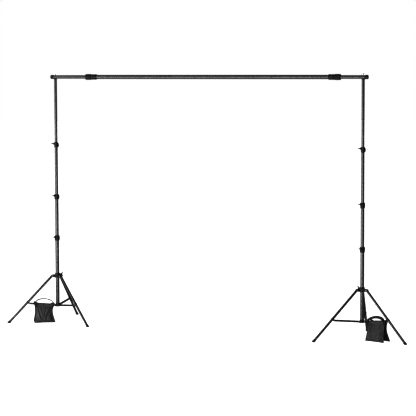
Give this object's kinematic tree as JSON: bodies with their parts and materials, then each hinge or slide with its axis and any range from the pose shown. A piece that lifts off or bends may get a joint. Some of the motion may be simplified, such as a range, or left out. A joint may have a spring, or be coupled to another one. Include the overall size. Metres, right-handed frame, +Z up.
{
  "type": "background support system",
  "caption": "Portable backdrop support: folding tripod stands with telescoping columns carry a telescoping crossbar on wing-nut studs, each stand weighted with a saddle sandbag.",
  "frame": {"origin": "middle of the whole object's outline, on the floor", "axes": "+X along the crossbar towards the stand with the right_ names, +Y horizontal, away from the side that the sandbags hang on, +Z up"},
  "size_m": [4.0558, 0.8362, 2.474],
  "materials": {
    "tube_black": "satin black",
    "bar_black": "satin black",
    "casting_black": "moulded, fine texture",
    "knob_black": "moulded",
    "rubber_black": "matte",
    "stud_steel": "plated",
    "nut_grey": "plated",
    "bag_black": "woven"
  },
  "bodies": {
    "left_base": {"left_base_tube": "tube_black", "left_hub": "casting_black", "left_lock_1": "casting_black"},
    "left_tube_2": {"left_tube_2": "tube_black", "left_lock_2": "casting_black"},
    "left_tube_3": {"left_tube_3": "tube_black", "left_lock_3": "casting_black"},
    "left_tube_4": {"left_tube_4": "tube_black", "left_stud": "stud_steel"},
    "left_lock_knob_1": {"left_lock_knob_1": "knob_black"},
    "left_lock_knob_2": {"left_lock_knob_2": "knob_black"},
    "left_lock_knob_3": {"left_lock_knob_3": "knob_black"},
    "left_wing_nut": {"left_wing_nut": "nut_grey"},
    "left_leg_collar": {"left_leg_collar": "casting_black"},
    "left_leg_collar_knob": {"left_leg_collar_knob": "knob_black"},
    "left_strut_1": {"left_strut_1": "tube_black"},
    "left_leg_1": {"left_leg_1": "tube_black", "left_foot_1": "rubber_black"},
    "left_strut_2": {"left_strut_2": "tube_black"},
    "left_leg_2": {"left_leg_2": "tube_black", "left_foot_2": "rubber_black"},
    "left_strut_3": {"left_strut_3": "tube_black"},
    "left_leg_3": {"left_leg_3": "tube_black", "left_foot_3": "rubber_black"},
    "left_sandbag": {"left_sandbag": "bag_black"},
    "right_base": {"right_base_tube": "tube_black", "right_hub": "casting_black", "right_lock_1": "casting_black"},
    "right_tube_2": {"right_tube_2": "tube_black", "right_lock_2": "casting_black"},
    "right_tube_3": {"right_tube_3": "tube_black", "right_lock_3": "casting_black"},
    "right_tube_4": {"right_tube_4": "tube_black", "right_stud": "stud_steel"},
    "right_lock_knob_1": {"right_lock_knob_1": "knob_black"},
    "right_lock_knob_2": {"right_lock_knob_2": "knob_black"},
    "right_lock_knob_3": {"right_lock_knob_3": "knob_black"},
    "right_wing_nut": {"right_wing_nut": "nut_grey"},
    "right_leg_collar": {"right_leg_collar": "casting_black"},
    "right_leg_collar_knob": {"right_leg_collar_knob": "knob_black"},
    "right_strut_1": {"right_strut_1": "tube_black"},
    "right_leg_1": {"right_leg_1": "tube_black", "right_foot_1": "rubber_black"},
    "right_strut_2": {"right_strut_2": "tube_black"},
    "right_leg_2": {"right_leg_2": "tube_black", "right_foot_2": "rubber_black"},
    "right_strut_3": {"right_strut_3": "tube_black"},
    "right_leg_3": {"right_leg_3": "tube_black", "right_foot_3": "rubber_black"},
    "right_sandbag": {"right_sandbag": "bag_black"},
    "bar_left_end": {"crossbar_left_end": "bar_black", "left_end_cap": "knob_black"},
    "bar_middle": {"crossbar_section_left": "bar_black", "crossbar_section_middle": "bar_black", "crossbar_section_right": "bar_black"},
    "bar_right_end": {"crossbar_right_end": "bar_black", "right_end_cap": "knob_black"},
    "left_twist_ring": {"left_twist_ring": "knob_black"},
    "right_twist_ring": {"right_twist_ring": "knob_black"}
  },
  "joints": [
    {"name": "left_tube_2_slide", "type": "slide", "parent": "left_base", "child": "left_tube_2", "axis": [0, 0, 1], "range_m": [-0.36, 0.19]},
    {"name": "left_tube_3_slide", "type": "slide", "parent": "left_tube_2", "child": "left_tube_3", "axis": [0, 0, 1], "range_m": [-0.464, 0.125]},
    {"name": "left_tube_4_slide", "type": "slide", "parent": "left_tube_3", "child": "left_tube_4", "axis": [0, 0, 1], "range_m": [-0.605, 0.04]},
    {"name": "left_lock_knob_1_turn", "type": "hinge", "parent": "left_base", "child": "left_lock_knob_1", "pos_m": [-1.61019, -0.11744, 0.8514], "axis": [-0.3256, -0.9455, 0], "range_deg": [0, 450]},
    {"name": "left_lock_knob_2_turn", "type": "hinge", "parent": "left_tube_2", "child": "left_lock_knob_2", "pos_m": [-1.61345, -0.11389, 1.2638], "axis": [-0.454, -0.891, 0], "range_deg": [0, 450]},
    {"name": "left_lock_knob_3_turn", "type": "hinge", "parent": "left_tube_3", "child": "left_lock_knob_3", "pos_m": [-1.62477, -0.10009, 1.7808], "axis": [-0.8829, -0.4695, 0], "range_deg": [0, 450]},
    {"name": "left_leg_collar_slide", "type": "slide", "parent": "left_base", "child": "left_leg_collar", "axis": [0, 0, 1], "range_m": [0, 0.31093]},
    {"name": "left_leg_collar_knob_turn", "type": "hinge", "parent": "left_leg_collar", "child": "left_leg_collar_knob", "pos_m": [-1.5728, -0.06923, 0.478], "axis": [0.8377, 0.5461, 0], "range_deg": [0, 450]},
    {"name": "left_strut_1_hinge", "type": "hinge", "parent": "left_base", "child": "left_strut_1", "pos_m": [-1.6276, -0.10455, 0.168], "axis": [-0.5373, 0.8434, 0], "range_deg": [0, 84.71]},
    {"name": "left_leg_1_hinge", "type": "hinge", "parent": "left_strut_1", "child": "left_leg_1", "pos_m": [-1.83831, -0.23878, 0.19137], "axis": [0.5373, -0.8434, 0], "range_deg": [0, 128.31]},
    {"name": "left_strut_2_hinge", "type": "hinge", "parent": "left_base", "child": "left_strut_2", "pos_m": [-1.60105, -0.05354, 0.168], "axis": [0.999, 0.0436, 0], "range_deg": [0, 84.71]},
    {"name": "left_leg_2_hinge", "type": "hinge", "parent": "left_strut_2", "child": "left_leg_2", "pos_m": [-1.61195, 0.19606, 0.19137], "axis": [-0.999, -0.0436, 0], "range_deg": [0, 128.31]},
    {"name": "left_strut_3_hinge", "type": "hinge", "parent": "left_base", "child": "left_strut_3", "pos_m": [-1.57016, -0.10204, 0.168], "axis": [-0.4617, -0.887, 0], "range_deg": [0, 84.71]},
    {"name": "left_leg_3_hinge", "type": "hinge", "parent": "left_strut_3", "child": "left_leg_3", "pos_m": [-1.34855, -0.2174, 0.19137], "axis": [0.4617, 0.887, 0], "range_deg": [0, 128.31]},
    {"name": "left_sandbag_swing", "type": "hinge", "parent": "left_strut_1", "child": "left_sandbag", "pos_m": [-1.6276, -0.10455, 0.168], "axis": [-0.8397, -0.535, 0.0931], "range_deg": [-5, 2]},
    {"name": "left_wing_nut_turn", "type": "hinge", "parent": "left_tube_4", "child": "left_wing_nut", "pos_m": [-1.5996, -0.08671, 2.457], "axis": [0, 0, 1], "range_deg": [0, 720]},
    {"name": "right_lock_knob_1_turn", "type": "hinge", "parent": "right_base", "child": "right_lock_knob_1", "pos_m": [1.54264, -0.11795, 0.8514], "axis": [-0.2756, -0.9613, 0], "range_deg": [0, 450]},
    {"name": "right_lock_knob_2_turn", "type": "hinge", "parent": "right_tube_2", "child": "right_lock_knob_2", "pos_m": [1.5387, -0.11435, 1.2638], "axis": [-0.4226, -0.9063, 0], "range_deg": [0, 450]},
    {"name": "right_lock_knob_3_turn", "type": "hinge", "parent": "right_tube_3", "child": "right_lock_knob_3", "pos_m": [1.53328, -0.10854, 1.7808], "axis": [-0.6428, -0.766, 0], "range_deg": [0, 450]},
    {"name": "right_leg_collar_slide", "type": "slide", "parent": "right_base", "child": "right_leg_collar", "axis": [0, 0, 1], "range_m": [0, 0.31093]},
    {"name": "right_leg_collar_knob_turn", "type": "hinge", "parent": "right_leg_collar", "child": "right_leg_collar_knob", "pos_m": [1.52149, -0.07587, 0.478], "axis": [-0.9409, 0.3387, 0], "range_deg": [0, 450]},
    {"name": "right_strut_1_hinge", "type": "hinge", "parent": "right_base", "child": "right_strut_1", "pos_m": [1.52624, -0.10814, 0.168], "axis": [-0.6455, 0.7638, 0], "range_deg": [0, 84.71]},
    {"name": "right_leg_1_hinge", "type": "hinge", "parent": "right_strut_1", "child": "right_leg_1", "pos_m": [1.33541, -0.2694, 0.19137], "axis": [0.6455, -0.7638, 0], "range_deg": [0, 128.31]},
    {"name": "right_strut_2_hinge", "type": "hinge", "parent": "right_base", "child": "right_strut_2", "pos_m": [1.54572, -0.05403, 0.168], "axis": [0.9842, 0.1771, 0], "range_deg": [0, 84.71]},
    {"name": "right_leg_2_hinge", "type": "hinge", "parent": "right_strut_2", "child": "right_leg_2", "pos_m": [1.50147, 0.19185, 0.19137], "axis": [-0.9842, -0.1771, 0], "range_deg": [0, 128.31]},
    {"name": "right_strut_3_hinge", "type": "hinge", "parent": "right_base", "child": "right_strut_3", "pos_m": [1.58283, -0.09796, 0.168], "axis": [-0.3387, -0.9409, 0], "range_deg": [0, 84.71]},
    {"name": "right_leg_3_hinge", "type": "hinge", "parent": "right_strut_3", "child": "right_leg_3", "pos_m": [1.8179, -0.18258, 0.19137], "axis": [0.3387, 0.9409, 0], "range_deg": [0, 128.31]},
    {"name": "right_sandbag_swing", "type": "hinge", "parent": "right_strut_3", "child": "right_sandbag", "pos_m": [1.58283, -0.09796, 0.168], "axis": [0.9368, -0.3373, 0.0931], "range_deg": [-2, 5]},
    {"name": "right_wing_nut_turn", "type": "hinge", "parent": "right_tube_4", "child": "right_wing_nut", "pos_m": [1.5516, -0.08671, 2.457], "axis": [0, 0, 1], "range_deg": [0, 720]},
    {"name": "left_bar_swivel", "type": "hinge", "parent": "left_tube_4", "child": "bar_left_end", "pos_m": [-1.5996, -0.08671, 2.44], "axis": [0, 0, 1], "continuous": true},
    {"name": "left_bar_slide", "type": "slide", "parent": "bar_left_end", "child": "bar_middle", "axis": [1, 0, 0], "range_m": [-0.3, 0.18]},
    {"name": "right_bar_slide", "type": "slide", "parent": "bar_middle", "child": "bar_right_end", "axis": [1, 0, 0], "range_m": [-0.195, 0.18]},
    {"name": "left_twist_ring_turn", "type": "hinge", "parent": "bar_middle", "child": "left_twist_ring", "pos_m": [-1.20701, -0.08671, 2.44], "axis": [-1, 0, 0], "range_deg": [0, 90]},
    {"name": "right_twist_ring_turn", "type": "hinge", "parent": "bar_middle", "child": "right_twist_ring", "pos_m": [1.2756, -0.08671, 2.44], "axis": [1, 0, 0], "range_deg": [0, 90]},
    {"name": "right_bar_swivel", "type": "hinge", "parent": "bar_right_end", "child": "right_tube_4", "pos_m": [1.5516, -0.08671, 2.44], "axis": [0, 0, 1], "continuous": true},
    {"name": "right_tube_4_slide", "type": "slide", "parent": "right_tube_4", "child": "right_tube_3", "axis": [0, 0, -1], "range_m": [-0.605, 0.04]},
    {"name": "right_tube_3_slide", "type": "slide", "parent": "right_tube_3", "child": "right_tube_2", "axis": [0, 0, -1], "range_m": [-0.464, 0.125]},
    {"name": "right_tube_2_slide", "type": "slide", "parent": "right_tube_2", "child": "right_base", "axis": [0, 0, -1], "range_m": [-0.36, 0.19]}
  ],
  "couplings": [
    {"joint": "left_strut_1_hinge", "follows": "left_leg_collar_slide", "rad_per_m": 4.7521},
    {"joint": "left_leg_1_hinge", "follows": "left_leg_collar_slide", "rad_per_m": 7.1995},
    {"joint": "left_strut_2_hinge", "follows": "left_leg_collar_slide", "rad_per_m": 4.7521},
    {"joint": "left_leg_2_hinge", "follows": "left_leg_collar_slide", "rad_per_m": 7.1995},
    {"joint": "left_strut_3_hinge", "follows": "left_leg_collar_slide", "rad_per_m": 4.7521},
    {"joint": "left_leg_3_hinge", "follows": "left_leg_collar_slide", "rad_per_m": 7.1995},
    {"joint": "right_strut_1_hinge", "follows": "right_leg_collar_slide", "rad_per_m": 4.7521},
    {"joint": "right_leg_1_hinge", "follows": "right_leg_collar_slide", "rad_per_m": 7.1995},
    {"joint": "right_strut_2_hinge", "follows": "right_leg_collar_slide", "rad_per_m": 4.7521},
    {"joint": "right_leg_2_hinge", "follows": "right_leg_collar_slide", "rad_per_m": 7.1995},
    {"joint": "right_strut_3_hinge", "follows": "right_leg_collar_slide", "rad_per_m": 4.7521},
    {"joint": "right_leg_3_hinge", "follows": "right_leg_collar_slide", "rad_per_m": 7.1995},
    {"joint": "right_tube_2_slide", "follows": "left_tube_2_slide", "ratio": 1},
    {"joint": "right_tube_3_slide", "follows": "left_tube_3_slide", "ratio": 1},
    {"joint": "right_tube_4_slide", "follows": "left_tube_4_slide", "ratio": 1}
  ]
}
